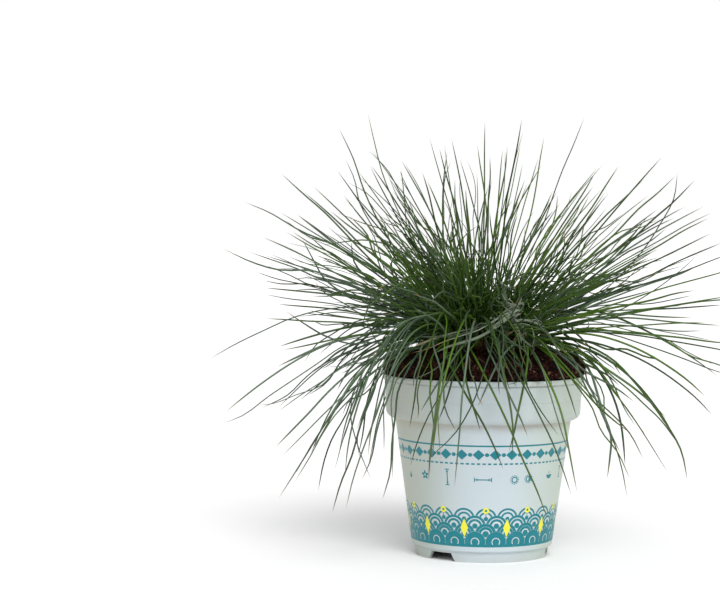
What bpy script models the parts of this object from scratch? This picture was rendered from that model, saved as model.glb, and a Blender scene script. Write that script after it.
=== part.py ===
"""A blue fescue clump in a white nursery pot: the pot, its potting mix and the grass's shoots.

The origin is on the pot's axis, at the surface that the pot stands on. The front is -Y.
"""

import math
import random

import bmesh
import bpy
from mathutils import Quaternion, Vector, noise
from mathutils.bvhtree import BVHTree

MM = 0.001
UP = Vector((0, 0, 1))
GAP = 0.3 * MM
MERGE = 0.01 * MM
ROUND_STEPS = 48

# Pot, as radii and heights
POT_HEIGHT = 90 * MM
LIP_RADIUS = 50.2 * MM
LIP_DEPTH = 2.6 * MM
COLLAR_RADIUS = 49.5 * MM
COLLAR_FOOT_RADIUS = 48.6 * MM
COLLAR_BOTTOM = 68.4 * MM
BODY_TOP_RADIUS = 43.9 * MM
BODY_FOOT_RADIUS = 35.2 * MM
FOOT_RADIUS = 33.4 * MM
FOOT_HEIGHT = 5.2 * MM
FOOT_WALL = 2.2 * MM
WALL = 1.3 * MM
INNER_LEDGE = COLLAR_BOTTOM + 1.8 * MM
NOTCH_ANGLES = (-40, 80, 200)
NOTCH_WIDTH = 17.5 * MM
NOTCH_TOP_WIDTH = 12 * MM
NOTCH_HEIGHT = 4.1 * MM
DRAIN_HOLES = 6
DRAIN_RADIUS = 4 * MM
DRAIN_CIRCLE = 22 * MM

# Potting mix: the mound's outline over the lip, as radii and heights in millimetres
CROWN_HEIGHT = 103.2 * MM
CROWN_PAD_RADIUS = 28 * MM
MOUND = ((50, 91), (50, 93.6), (48.6, 96.8), (45.5, 99.4), (40, 101.3), (34, 102.6), (28, 103.2))
SOIL_STEPS = 32
SOIL_ROOM = 0.4 * MM
LUMP_SIZE = 9 * MM
LUMP_HEIGHT = 1.1 * MM
LUMPS_FROM = 92 * MM
LUMP_CENTRE = 80 * MM

# Grass: shoots
SHOOTS = 56
LEAVES_PER_SHOOT = 4
CROWN_RADIUS = 21 * MM
GOLDEN_ANGLE = math.radians(137.508)
SPREAD = 0.98
SHEATH_RADIUS = 1.9 * MM
SHEATH_LENGTH = 8 * MM
SHEATH_LEAN = 0.6
PARTING = 0.5

# Grass: leaves
LEAF_WIDTH = 1.8 * MM
LEAF_THICKNESS = 1.2 * MM
LEAF_SEGMENTS = 5
LEAF_LENGTH = 103 * MM
SHORTEST, LONGEST = 0.72, 1.12
REACH_X = 137 * MM
REACH_Y = 130 * MM
REACH_Z = 220 * MM
STEEPEST = -86
POT_ROOM = 1.8 * MM

# Grass: the draws
SEED = 332
TRIES = 60
STRAY = 0.25 * MM
CHOICE = 5
SWEEP = 14
LISTED_SWEEP = 6
HANGING_SWEEP = 20
FALL = (0, 0.8)
CLUMP_HEART = CROWN_HEIGHT - 25 * MM
HANGS_BELOW = 95 * MM

# Leaf tips that stand out in the clump's outline: x, y and z in millimetres, and how far the
# leaf arches, in degrees (below zero it curves upwards)
LONGEST_TIPS = (
    (-137, -20, 98, 38),
    (137, 8, 132, 6),
    (24, -130, 118, 24),
    (-30, 130, 104, 26),
)
UPPER_TIPS = (
    (-60, 10, 220, -14), (-58, 0, 194, -4), (-50, -15, 187, 3), (-71, -6, 179, 5),
    (-45, 18, 182, 8), (-22, -20, 205, 4), (-15, 30, 208, 12), (0, 0, 216, 8),
    (10, 20, 203, 6), (17, -20, 195, -3), (32, 30, 209, -10), (65, -10, 194, 3),
    (82, 30, 189, 5), (78, -30, 180, 14), (107, 20, 188, -6), (106, -20, 175, 8),
    (117, 40, 169, 3), (-102, 10, 190, -4), (-86, -20, 183, 3), (-104, -30, 171, -5),
    (-95, 40, 168, 2), (-64, -30, 192, 6), (-56, 40, 194, 9), (-68, 60, 182, 5),
    (-43, -30, 190, 16), (-21, 50, 203, 4), (-1, 60, 192, 3), (-31, -50, 186, 8),
    (24, 60, 185, 4), (31, -50, 182, 5), (42, 60, 176, 6), (45, -20, 182, 7),
    (58, 40, 185, 10), (53, -50, 183, 8), (66, 60, 179, 4), (93, 60, 173, 9),
)
SIDE_TIPS = (
    (-100, 20, 160, 4), (-110, -10, 158, 2), (-111, 20, 148, 12), (-109, -30, 133, 24),
    (-110, 30, 128, 9), (-103, -40, 126, 8), (-93, 50, 117, 10), (-109, 30, 115, 3),
    (-99, -50, 105, 12), (-103, 10, 96, 18), (-103, -40, 95, 22), (117, -10, 157, 5),
    (133, 40, 151, 4), (124, -40, 147, 3), (122, -30, 132, 8), (127, 50, 124, 7),
    (106, -20, 119, 9), (130, 20, 105, 14), (127, -30, 103, 16), (128, 30, 88, 22),
    (109, -20, 81, 24), (119, 20, 69, 26),
)
LOWER_TIPS = (
    (-128, -20, 71, 30), (-104, 20, 72, 26), (-97, -80, 57, 26), (-103, -20, 55, 26),
    (-102, -10, 27, 44), (-92, -75, 48, 26), (-85, -85, 59, 26), (-87, 20, 47, 34),
    (-68, -75, 32, 40), (-68, -70, 45, 40), (-58, -80, 56, 36), (-59, -75, 64, 34),
    (-60, -85, 70, 30), (-70, 10, 56, 48), (-92, 50, 72, 24), (90, -20, 71, 20),
    (93, -30, 59, 16), (82, 10, 60, 30), (65, -70, 68, 26), (62, -60, 58, 36), (70, -20, 47, 50),
)

# Leaf tips that hang before the pot, as above, and how far to the right their shoot stands
HANGING_TIPS = (
    (27, -85, 28, 42, -16), (38, -80, 39, 36, 6), (-38, -80, 51, 36, 2), (-16, -75, 43, 40, -3),
    (42, -65, 39, 46, 18), (6, -85, 53, 34, -18), (11, -80, 53, 36, -2), (-24, -80, 54, 34, -6),
    (-30, -68, 46, 44, -18), (17, -90, 67, 28, 0), (8, -75, 59, 36, 14), (-5, -75, 70, 30, -14),
    (-32, -70, 78, 26, -10), (-26, -65, 74, 32, -14), (40, -70, 76, 26, 14),
)
HANGING_FROM = -25 * MM

# The wilted shoot: its place in the spiral, its sheath's ends, and its leaves' tips and arches
WILTED_PLACE = 44
WILTED_FOOT = (8, -23.8, 103.5)
WILTED_TOP = (9, -33, 117)
WILTED_TIPS = (
    (-36, -46, 106, 10), (2, -46, 108, 70), (16, -48, 108, 60), (28, -38, 116, 30),
    (16, -33, 134, -8),
)


def finish(name, colour, roughness):
    material = bpy.data.materials.new(name)
    material.use_nodes = True
    shader = material.node_tree.nodes["Principled BSDF"]
    shader.inputs["Base Color"].default_value = (*colour, 1)
    shader.inputs["Roughness"].default_value = roughness
    shader.inputs["Metallic"].default_value = 0
    return material


def solid(name, shape, material, sharp_angle=None):
    """An object of this bmesh, shaded smooth where a sharp angle is given."""
    bmesh.ops.recalc_face_normals(shape, faces=shape.faces)
    mesh = bpy.data.meshes.new(name)
    shape.to_mesh(mesh)
    shape.free()
    if sharp_angle is not None:
        mesh.shade_smooth()
        mesh.set_sharp_from_angle(angle=math.radians(sharp_angle))
    thing = bpy.data.objects.new(name, mesh)
    bpy.context.collection.objects.link(thing)
    if material:
        mesh.materials.append(material)
    return thing


def leaning(lean, turn):
    """The unit vector that leans this far from upright, towards this bearing."""
    return Vector((math.sin(lean) * math.cos(turn), math.sin(lean) * math.sin(turn), math.cos(lean)))


def turned(profile, steps):
    """The profile, as radii and heights, spun about Z."""
    shape = bmesh.new()
    points = [shape.verts.new((radius, 0, height)) for radius, height in profile]
    edges = [shape.edges.new(pair) for pair in zip(points, points[1:])]
    bmesh.ops.spin(
        shape, geom=points + edges, cent=(0, 0, 0), axis=UP, angle=math.tau, steps=steps
    )
    bmesh.ops.remove_doubles(shape, verts=shape.verts, dist=MERGE)
    return shape


# Pot


def pot_profile():
    """Up the inside from the floor's middle, over the lip, down the outside and under the base."""
    floor = FOOT_HEIGHT + WALL
    lip_bottom = POT_HEIGHT - LIP_DEPTH
    inside = [
        (0, floor),
        (BODY_FOOT_RADIUS - WALL - 1.2 * MM, floor),
        (BODY_FOOT_RADIUS - WALL, floor + 1.2 * MM),
        (BODY_TOP_RADIUS - WALL, INNER_LEDGE),
        (COLLAR_FOOT_RADIUS - WALL - 1 * MM, INNER_LEDGE),
        (COLLAR_FOOT_RADIUS - WALL, INNER_LEDGE + 1 * MM),
        (LIP_RADIUS - 1.6 * MM, POT_HEIGHT),
    ]
    outside = [
        (LIP_RADIUS - 0.4 * MM, POT_HEIGHT),
        (LIP_RADIUS, POT_HEIGHT - 0.5 * MM),
        (LIP_RADIUS, lip_bottom + 0.4 * MM),
        (COLLAR_RADIUS, lip_bottom - 0.2 * MM),
        (COLLAR_FOOT_RADIUS, COLLAR_BOTTOM + 3.4 * MM),
        (COLLAR_FOOT_RADIUS - 0.6 * MM, COLLAR_BOTTOM + 1.8 * MM),
        (COLLAR_FOOT_RADIUS - 1.8 * MM, COLLAR_BOTTOM + 0.7 * MM),
        (BODY_TOP_RADIUS + 0.5 * MM, COLLAR_BOTTOM),
        (BODY_TOP_RADIUS, COLLAR_BOTTOM - 0.6 * MM),
        (BODY_FOOT_RADIUS, FOOT_HEIGHT + 0.7 * MM),
        (BODY_FOOT_RADIUS - 0.5 * MM, FOOT_HEIGHT + 0.1 * MM),
        (FOOT_RADIUS, FOOT_HEIGHT - 0.3 * MM),
    ]
    foot = [
        (FOOT_RADIUS - 0.1 * MM, 0.4 * MM),
        (FOOT_RADIUS - 0.5 * MM, 0),
        (FOOT_RADIUS - FOOT_WALL, 0),
        (FOOT_RADIUS - FOOT_WALL - 0.2 * MM, FOOT_HEIGHT),
        (0, FOOT_HEIGHT),
    ]
    return inside + outside + foot


def cutter(name, shape, turn=0.0):
    """A solid that only cuts another, turned about the pot's axis."""
    tool = solid(name, shape, None)
    tool.rotation_euler.z = turn
    tool.hide_render = True
    tool.display_type = "WIRE"
    return tool


def notch_shape():
    """A drain notch in the front of the foot ring: a trapezium, wider at the bottom."""
    shape = bmesh.new()
    half, half_top, below = NOTCH_WIDTH / 2, NOTCH_TOP_WIDTH / 2, 1 * MM
    outline = ((-half, -below), (half, -below), (half_top, NOTCH_HEIGHT), (-half_top, NOTCH_HEIGHT))
    near = -(FOOT_RADIUS + 3 * MM)
    depth = FOOT_WALL + 6 * MM
    front = shape.faces.new([shape.verts.new((x, near, z)) for x, z in outline])
    pushed = bmesh.ops.extrude_face_region(shape, geom=[front])
    moved = [item for item in pushed["geom"] if isinstance(item, bmesh.types.BMVert)]
    bmesh.ops.translate(shape, verts=moved, vec=(0, depth, 0))
    return shape


def drain_shape(distance):
    shape = bmesh.new()
    bmesh.ops.create_cone(
        shape, cap_ends=True, segments=12, radius1=DRAIN_RADIUS, radius2=DRAIN_RADIUS, depth=6 * MM
    )
    bmesh.ops.translate(shape, verts=shape.verts, vec=(0, -distance, FOOT_HEIGHT + WALL / 2))
    return shape


def make_pot(material):
    pot = solid("pot", turned(pot_profile(), ROUND_STEPS), material, sharp_angle=35)
    tools = [
        cutter(f"notch_cutter_{n}", notch_shape(), math.radians(angle))
        for n, angle in enumerate(NOTCH_ANGLES, 1)
    ]
    tools.append(cutter("drain_cutter_0", drain_shape(0)))
    for n in range(DRAIN_HOLES):
        turn = math.tau * n / DRAIN_HOLES
        tools.append(cutter(f"drain_cutter_{n + 1}", drain_shape(DRAIN_CIRCLE), turn))
    for tool in tools:
        cut = pot.modifiers.new(tool.name, "BOOLEAN")
        cut.operation = "DIFFERENCE"
        cut.solver = "EXACT"
        cut.object = tool
    return pot


# Potting mix


def soil_profile():
    """From the root ball's base, up its side, over the lip and up to the flat pad of the crown."""
    floor = FOOT_HEIGHT + WALL + GAP
    ledge = INNER_LEDGE + GAP
    inside = WALL + SOIL_ROOM
    return [
        (0, floor),
        (BODY_FOOT_RADIUS - inside - 1.4 * MM, floor),
        (BODY_FOOT_RADIUS - inside, floor + 1.4 * MM),
        (BODY_TOP_RADIUS - inside, ledge),
        (COLLAR_FOOT_RADIUS - inside - 1.2 * MM, ledge),
        (COLLAR_FOOT_RADIUS - inside, ledge + 1.2 * MM),
        (COLLAR_RADIUS - inside, POT_HEIGHT - 1.5 * MM),
        (COLLAR_RADIUS - inside + 0.2 * MM, POT_HEIGHT + 0.5 * MM),
        *((radius * MM, height * MM) for radius, height in MOUND),
        (0, CROWN_HEIGHT),
    ]


def mound_height(radius):
    """How high the potting mix stands at this distance from the axis."""
    for (outer, low), (inner, high) in zip(MOUND, MOUND[1:]):
        if inner * MM <= radius <= outer * MM:
            share = (outer * MM - radius) / max((outer - inner) * MM, MERGE)
            return (low + (high - low) * share) * MM
    return CROWN_HEIGHT if radius < CROWN_PAD_RADIUS else 0


def make_soil(material):
    shape = turned(soil_profile(), SOIL_STEPS)
    for point in shape.verts:
        place = point.co
        if place.z > LUMPS_FROM and place.to_2d().length > CROWN_PAD_RADIUS + MM:
            lump = noise.noise(place / LUMP_SIZE) * LUMP_HEIGHT
            outwards = (place - UP * LUMP_CENTRE).normalized()
            point.co += outwards * lump
    return solid("soil", shape, material, sharp_angle=50)


# Grass: how a leaf runs


def arched(start, tip, outwards, arch, fall=0.8, sweep=0):
    """Four Bezier points of a leaf that sets out this many degrees steeper than the straight line.

    It ends below that line by the share fall of the arch. With a sweep, also in degrees, it sets
    out to the left of the line, seen from above, and ends to the right.
    """
    line = tip - start
    level = Vector((line.x, line.y, 0))
    away = level.normalized() if level.length > 8 * MM else outwards
    slope = math.degrees(math.atan2(line.z, line.dot(away)))
    hold = line.length * (0.33 + 0.14 * min(1, max(0, arch) / 70))

    def way(steepness, aside):
        angle = math.radians(steepness)
        level_way = Quaternion(UP, math.radians(aside)) @ away
        return level_way * math.cos(angle) + UP * math.sin(angle)

    first = way(slope + arch, sweep)
    last = way(max(slope - arch * fall, min(slope, STEEPEST)), -sweep)
    return start, start + first * hold, tip - last * hold, tip


def along(curve, share):
    """The point at this share of a Bezier curve."""
    a, b, c, d = curve
    rest = 1 - share
    return a * rest**3 + b * 3 * rest**2 * share + c * 3 * rest * share**2 + d * share**3


def leaf_points(curve):
    return [along(curve, n / LEAF_SEGMENTS) for n in range(LEAF_SEGMENTS + 1)]


def leaf_size(share):
    """How wide the leaf still is, against its base."""
    return 1 - share**3


# Grass: where the leaves go


class Shoot:
    """A sheath from foot to top, the way that its leaves mostly point, and their curves."""

    def __init__(self, foot, top, lean, turn):
        self.foot, self.top = foot, top
        self.lean, self.turn = lean, turn
        self.leaves = []


def shoot_plan():
    """The shoots in a spiral, from upright in the crown's middle to level at its edge."""
    plan = []
    for n in range(SHOOTS):
        out = math.sqrt((n + 0.5) / SHOOTS)
        turn = n * GOLDEN_ANGLE
        lean = math.acos(1 - SPREAD * out * out)
        foot = leaning(math.pi / 2, turn) * CROWN_RADIUS * out
        foot.z = CROWN_HEIGHT + GAP
        top = foot + leaning(lean * SHEATH_LEAN, turn) * SHEATH_LENGTH
        plan.append(Shoot(foot, top, lean, turn))
    return plan


def wilt(shoot):
    """Pushes a shoot outwards and gives it the wilted leaves."""
    shoot.foot, shoot.top = Vector(WILTED_FOOT) * MM, Vector(WILTED_TOP) * MM
    outwards = leaning(math.pi / 2, shoot.turn)
    for x, y, z, arch in WILTED_TIPS:
        shoot.leaves.append(arched(shoot.top, Vector((x, y, z)) * MM, outwards, arch))
    return shoot


def near_points(a, b, c, d):
    """The distance between the line from a to b and the line from c to d."""
    u, v, w = b - a, d - c, a - c
    uu, uv, vv, uw, vw = u.dot(u), u.dot(v), v.dot(v), u.dot(w), v.dot(w)
    spread = uu * vv - uv * uv
    s = min(1, max(0, (uv * vw - vv * uw) / spread)) if spread > 1e-18 else 0
    t = min(1, max(0, (uv * s + vw) / vv))
    s = min(1, max(0, (uv * t - uw) / uu))
    return (w + u * s - v * t).length


def clear_of_pot(point):
    """Whether a leaf may pass here without touching the pot or the potting mix."""
    radius = point.to_2d().length
    over_soil = point.z > mound_height(radius) + LUMP_HEIGHT + POT_ROOM
    if point.z > COLLAR_BOTTOM:
        return radius > LIP_RADIUS + POT_ROOM or point.z > POT_HEIGHT and over_soil
    return radius > BODY_TOP_RADIUS + POT_ROOM


def girths():
    """A leaf's radius along each of its segments, with the sheath's for the first."""
    later = [LEAF_WIDTH * 0.6 * leaf_size(n / LEAF_SEGMENTS) for n in range(1, LEAF_SEGMENTS)]
    return [SHEATH_RADIUS * 0.85, *later]


class Thicket:
    """The leaves and sheaths placed so far, so that a new one keeps clear of them."""

    def __init__(self):
        self.pieces = []

    def add(self, points, sizes, owner):
        for n, (a, b) in enumerate(zip(points, points[1:])):
            self.pieces.append((a, b, sizes[n], (a + b) / 2, (b - a).length / 2, owner, n))

    def has_room(self, points, sizes, owner):
        for n, (a, b) in enumerate(zip(points, points[1:])):
            middle, half = (a + b) / 2, (b - a).length / 2
            for c, d, size, other_middle, other_half, other, place in self.pieces:
                apart = sizes[n] + size + GAP
                if (middle - other_middle).length > half + other_half + apart:
                    continue
                if other != owner:
                    near = near_points(a, b, c, d)
                elif n + place > 1 or n == place == 0 and size < SHEATH_RADIUS:
                    apart = LEAF_WIDTH
                    near = near_points(middle, b, c.lerp(d, 0.5), d)
                else:
                    continue
                if near < apart:
                    return False
        return True


def steps_between(a, b, count=6):
    return [a.lerp(b, n / count) for n in range(1, count + 1)]


def crosses_itself(shape):
    """Whether two faces that share no corner run through each other. It frees the shape."""
    bmesh.ops.triangulate(shape, faces=shape.faces)
    shape.verts.index_update()
    corners = [{corner.index for corner in face.verts} for face in shape.faces]
    tree = BVHTree.FromBMesh(shape)
    shape.free()
    return any(a < b and not corners[a] & corners[b] for a, b in tree.overlap(tree))


def grow_leaf(thicket, owner, shoot, draw):
    """Draws a leaf until one has room and adds it to its shoot. It says whether one had."""
    outwards = leaning(math.pi / 2, shoot.turn)
    for attempt in range(TRIES):
        tip, *bends = draw(shoot, attempt)
        if abs(tip.x) > REACH_X or abs(tip.y) > REACH_Y or tip.z > REACH_Z:
            continue
        curve = arched(shoot.top, tip, outwards, *bends)
        points = leaf_points(curve)
        fine = [point for a, b in zip(points, points[1:]) for point in steps_between(a, b)]
        if all(map(clear_of_pot, fine)) and thicket.has_room(points, girths(), owner):
            shoot.leaves.append(curve)
            if crosses_itself(shoot_shape(shoot)):
                shoot.leaves.pop()
                continue
            thicket.add(points, girths(), owner)
            return True
    return False


def near_listed(chance, tip, arch, sweep):
    """Draws for a listed leaf: as listed at first, then straying, or steeper if it hangs."""

    def draw(shoot, attempt):
        stray = STRAY * attempt
        shift = Vector((chance.gauss(0, 0.3), chance.gauss(0, 1), chance.gauss(0, 0.3)))
        bend = 2.5 * attempt if tip.z < HANGS_BELOW else chance.gauss(0, 0.2) * attempt
        aside = sweep + chance.gauss(0, LISTED_SWEEP)
        return tip + shift * stray, min(135, arch + bend), chance.uniform(*FALL), aside

    return draw


def by_chance(chance):
    """Draws for any other leaf: about its shoot's own way, and hanging if it leans far."""

    def draw(shoot, attempt):
        degrees = abs(math.degrees(shoot.lean) + chance.gauss(4, 11 + attempt * 0.1))
        lean = math.radians(min(122, max(3, degrees)))
        turn = shoot.turn + math.radians(chance.gauss(0, 13)) / max(0.35, math.sin(lean))
        length = LEAF_LENGTH * chance.uniform(SHORTEST, LONGEST)
        arch = chance.gauss(9, 6) + max(0, math.degrees(lean) - 75) * 1.5
        tip = shoot.top + leaning(lean, turn) * length
        return tip, arch, chance.uniform(*FALL), chance.gauss(0, SWEEP)

    return draw


def near_source(shoot, source):
    """How far a shoot's top stands from this place, in plan."""
    return (shoot.top.to_2d() - source).length


def away_from(shoot, tip):
    """How little a shoot leans towards this tip."""
    return -leaning(shoot.lean, shoot.turn).dot(tip - UP * CLUMP_HEART)


def grow_listed(thicket, shoots, draw, rank):
    """Grows a listed leaf from the first shoot, by rank, that has room for it."""
    free = [n for n, shoot in enumerate(shoots, 1) if len(shoot.leaves) < LEAVES_PER_SHOOT]
    free.sort(key=lambda n: rank(shoots[n - 1]))
    any(grow_leaf(thicket, n, shoots[n - 1], draw) for n in free[:CHOICE])


def plant():
    """Every shoot with its leaves: first the leaves that stand out, then the rest."""
    chance = random.Random(SEED)
    thicket = Thicket()
    shoots = shoot_plan()
    wilted = wilt(shoots.pop(WILTED_PLACE))
    for n, shoot in enumerate([wilted, *shoots]):
        thicket.add([shoot.foot, shoot.top], [SHEATH_RADIUS], n)
    for curve in wilted.leaves:
        thicket.add(leaf_points(curve), girths(), 0)
    for x, y, z, arch, across in HANGING_TIPS:
        source = Vector((across * MM, HANGING_FROM))
        tip = Vector((x, y, z)) * MM
        sweep = HANGING_SWEEP if x < across else -HANGING_SWEEP
        draw = near_listed(chance, tip, arch, sweep)
        grow_listed(thicket, shoots, draw, lambda shoot: near_source(shoot, source))
    for x, y, z, arch in LONGEST_TIPS + LOWER_TIPS + SIDE_TIPS + UPPER_TIPS:
        tip = Vector((x, y, z)) * MM
        draw = near_listed(chance, tip, arch, 0)
        grow_listed(thicket, shoots, draw, lambda shoot: away_from(shoot, tip))
    for n, shoot in enumerate(shoots, 1):
        while len(shoot.leaves) < LEAVES_PER_SHOOT:
            if not grow_leaf(thicket, n, shoot, by_chance(chance)):
                break
    return shoots, wilted


# Grass: solids


def leaf_ring(shape, middle, normal, tangent, size):
    """A leaf's three corners: a ridge above and the two edges below."""
    side = tangent.cross(normal).normalized()
    width, height = LEAF_WIDTH * size, LEAF_THICKNESS * size
    places = (
        middle + normal * height * 0.6,
        middle - normal * height * 0.4 + side * width / 2,
        middle - normal * height * 0.4 - side * width / 2,
    )
    return [shape.verts.new(place) for place in places]


def bridge(shape, low, high):
    """Side faces between two rings of corners."""
    count = len(low)
    for n in range(count):
        after = (n + 1) % count
        shape.faces.new((low[n], low[after], high[after], high[n]))


def corner_angles(bearings, count):
    """Where a sheath's top is parted: evenly, but drawn towards the gaps between the bearings."""
    offsets = [bearing - math.tau * n / count for n, bearing in enumerate(bearings)]
    middle = math.atan2(sum(map(math.sin, offsets)), sum(map(math.cos, offsets)))
    strays = [math.remainder(offset - middle, math.tau) * PARTING for offset in offsets]
    strays += [0] * (count - len(strays))
    return [
        middle + math.tau * (n - 0.5) / count + (strays[n - 1] + strays[n]) / 2
        for n in range(count)
    ]


def shoot_shape(shoot):
    """A sheath whose top is parted into sectors, with a leaf growing out of each."""
    shape = bmesh.new()
    foot, top = shoot.foot, shoot.top
    axis = sum(((along(curve, 0.2) - top).normalized() for curve in shoot.leaves), UP * 0)
    axis.normalize()
    upright = axis.rotation_difference(UP)
    across = axis.orthogonal().normalized()
    around = axis.cross(across)

    def bearing(curve):
        way = along(curve, 0.3) - top
        return math.atan2(way.dot(around), way.dot(across))

    curves = sorted(shoot.leaves, key=bearing)
    count = max(3, len(curves))
    low, high = [], []
    for angle in corner_angles([bearing(curve) for curve in curves], count):
        way = across * math.cos(angle) + around * math.sin(angle)
        low.append(shape.verts.new(foot + upright @ way * SHEATH_RADIUS))
        high.append(shape.verts.new(top + way * SHEATH_RADIUS))
    shape.faces.new(reversed(low))
    bridge(shape, low, high)
    centre = shape.verts.new(top)
    sectors = [(centre, high[n], high[(n + 1) % count]) for n in range(count)]
    for sector, curve in zip(sectors, curves):
        grow_from_sector(shape, sector, axis, curve)
    for sector in sectors[len(curves):]:
        shape.faces.new(sector)
    return shape


def grow_from_sector(shape, sector, axis, curve):
    """A leaf from three corners of the sheath's top, along its curve, to a point."""
    points = leaf_points(curve)
    heart = (sector[0].co + sector[1].co + sector[2].co) / 3
    shift = heart - points[0]
    tangent = axis
    normal = (sector[0].co - heart).normalized()
    ring = list(sector)
    for n in range(1, LEAF_SEGMENTS):
        ahead = (points[n + 1] - points[n - 1]).normalized()
        normal = tangent.rotation_difference(ahead) @ normal
        tangent = ahead
        share = n / LEAF_SEGMENTS
        place = points[n] + shift * (1 - share) ** 4
        upper = leaf_ring(shape, place, normal, tangent, leaf_size(share))
        bridge(shape, ring, upper)
        ring = upper
    tip = shape.verts.new(points[-1])
    for n in range(3):
        shape.faces.new((ring[n], ring[(n + 1) % 3], tip))


def make_grass(fresh, wilted_leaf):
    shoots, wilted = plant()
    for n, shoot in enumerate(shoots, 1):
        solid(f"shoot_{n:02d}", shoot_shape(shoot), fresh[n % len(fresh)])
    solid("wilted_shoot", shoot_shape(wilted), wilted_leaf)


def clear_scene():
    for thing in list(bpy.data.objects):
        bpy.data.objects.remove(thing, do_unlink=True)


clear_scene()
make_pot(finish("white_plastic", (0.74, 0.77, 0.75), 0.42))
make_soil(finish("potting_mix", (0.085, 0.032, 0.018), 0.95))
blue_green = finish("blue_green_leaf", (0.105, 0.19, 0.155), 0.5)
green = finish("green_leaf", (0.085, 0.2, 0.06), 0.5)
make_grass([blue_green, green], finish("wilted_leaf", (0.36, 0.42, 0.33), 0.7))
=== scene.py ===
import math
import random

import bmesh
import bpy
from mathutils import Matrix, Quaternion, Vector, noise


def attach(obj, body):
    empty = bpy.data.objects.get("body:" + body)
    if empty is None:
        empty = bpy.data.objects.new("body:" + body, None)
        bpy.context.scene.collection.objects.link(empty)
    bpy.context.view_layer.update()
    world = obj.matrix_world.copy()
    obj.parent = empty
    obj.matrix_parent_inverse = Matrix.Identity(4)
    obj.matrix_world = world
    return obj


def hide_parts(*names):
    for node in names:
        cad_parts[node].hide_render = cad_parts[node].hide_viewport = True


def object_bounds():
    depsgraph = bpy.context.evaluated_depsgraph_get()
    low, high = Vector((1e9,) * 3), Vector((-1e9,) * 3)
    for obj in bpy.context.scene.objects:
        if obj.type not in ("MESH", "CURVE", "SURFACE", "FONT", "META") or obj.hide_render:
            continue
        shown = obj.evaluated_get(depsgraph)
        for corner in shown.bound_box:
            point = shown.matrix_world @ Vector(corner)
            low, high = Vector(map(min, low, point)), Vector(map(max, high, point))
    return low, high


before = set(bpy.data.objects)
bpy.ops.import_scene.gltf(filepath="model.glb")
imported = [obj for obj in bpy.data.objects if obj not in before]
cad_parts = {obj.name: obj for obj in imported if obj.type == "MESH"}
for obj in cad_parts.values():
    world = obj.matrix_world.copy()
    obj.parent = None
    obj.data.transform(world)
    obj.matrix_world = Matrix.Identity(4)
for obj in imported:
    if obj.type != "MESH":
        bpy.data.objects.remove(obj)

CAD_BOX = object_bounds()

MM = 0.001
UP = Vector((0, 0, 1))
SEED = 7
# Steps between two points of a smooth curve
DENSE_STEPS = 8

# Camera: where it stands and where it looks, in metres
CAMERA_PLACE = Vector((-0.0622, -1.19, 0.18))
CAMERA_AIM = Vector((-0.0622, 0, 0.1292))
CAMERA_ROLL = math.radians(0.5)
LENS = 119
SENSOR = 36

# Light: the even light of the studio, and a soft key from the front, the right and above
WORLD_LIGHT = 0.6
KEY_WAY = (0.18, -0.75, 0.75)
KEY_SOFTNESS = 35
KEY_LIGHT = 2.35
FLOOR_SIZE = 12
BACKDROP_SIZE = 3
BACKDROP_PLACE = (0, 6, 2.9)

# Pot, in metres, as in the solid that this one stands for
POT_HEIGHT = 90 * MM
LIP_RADIUS = 50.2 * MM
LIP_DEPTH = 2.6 * MM
COLLAR_RADIUS = 49.5 * MM
COLLAR_FOOT_RADIUS = 48.6 * MM
COLLAR_BOTTOM = 68.4 * MM
MOULD_LINE = 79 * MM
BODY_TOP_RADIUS = 43.9 * MM
BODY_FOOT_RADIUS = 35.2 * MM
FOOT_RADIUS = 33.4 * MM
FOOT_HEIGHT = 5.2 * MM
FOOT_WALL = 2.2 * MM
WALL = 1.3 * MM
INNER_LEDGE = COLLAR_BOTTOM + 1.8 * MM
NOTCH_ANGLES = (-40, 80, 200)
NOTCH_WIDTH = 17.5 * MM
NOTCH_TOP_WIDTH = 12 * MM
NOTCH_HEIGHT = 4.1 * MM
DRAIN_HOLES = 6
DRAIN_RADIUS = 4 * MM
DRAIN_CIRCLE = 22 * MM
POT_STEPS = 144

# Potting mix: the outline of its mound, as radii and heights, and a root over the lip, in millimetres
MOUND = ((50, 91), (50, 93.6), (48.6, 96.8), (45.5, 99.4), (40, 101.3), (34, 102.6), (28, 103.2), (0, 103.2))
ROOT = ((26, -42.9, 90.8), (29, -41.4, 90.6), (31, -40.6, 89.4), (30.2, -41.6, 87.6), (28, -43.2, 87.0))
SOIL_STEPS = 160
SOIL_GRAIN = 1.1 * MM
MOUND_CENTRE = Vector((0, 0, 82 * MM))
LUMPS_ABOVE = 90.9 * MM
CRUMBS = 4600
FIBRES = 420
EDGE_BELOW = 97 * MM
EDGE_SHARE = 1.7
THREAD_STEPS = 8

# Leaves
SHOOT_FOOT = 103.5 * MM
CROWN_REACH = 28 * MM
FOOT_SLACK = 0.05 * MM
SOLID_RINGS = 5
TIP_SPREAD = 0.6
LEAVES_PER_SHOOT = 19
CROWN_LEAVES = 10
LEAF_LENGTHS = (1.08, 1, 1, 0.92, 0.85, 0.75, 0.6, 0.5)
CROWN_LENGTHS = (0.85, 0.7, 0.6, 0.55, 0.5, 0.45, 0.4)
LEAF_STEPS = 22
LEAF_WIDTH = 1.15 * MM
LEAF_DEPTH = 0.9 * MM
LONG_REACH = 50 * MM
LOW_REACH = 25 * MM
LOWEST_TIP = 24 * MM
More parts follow.
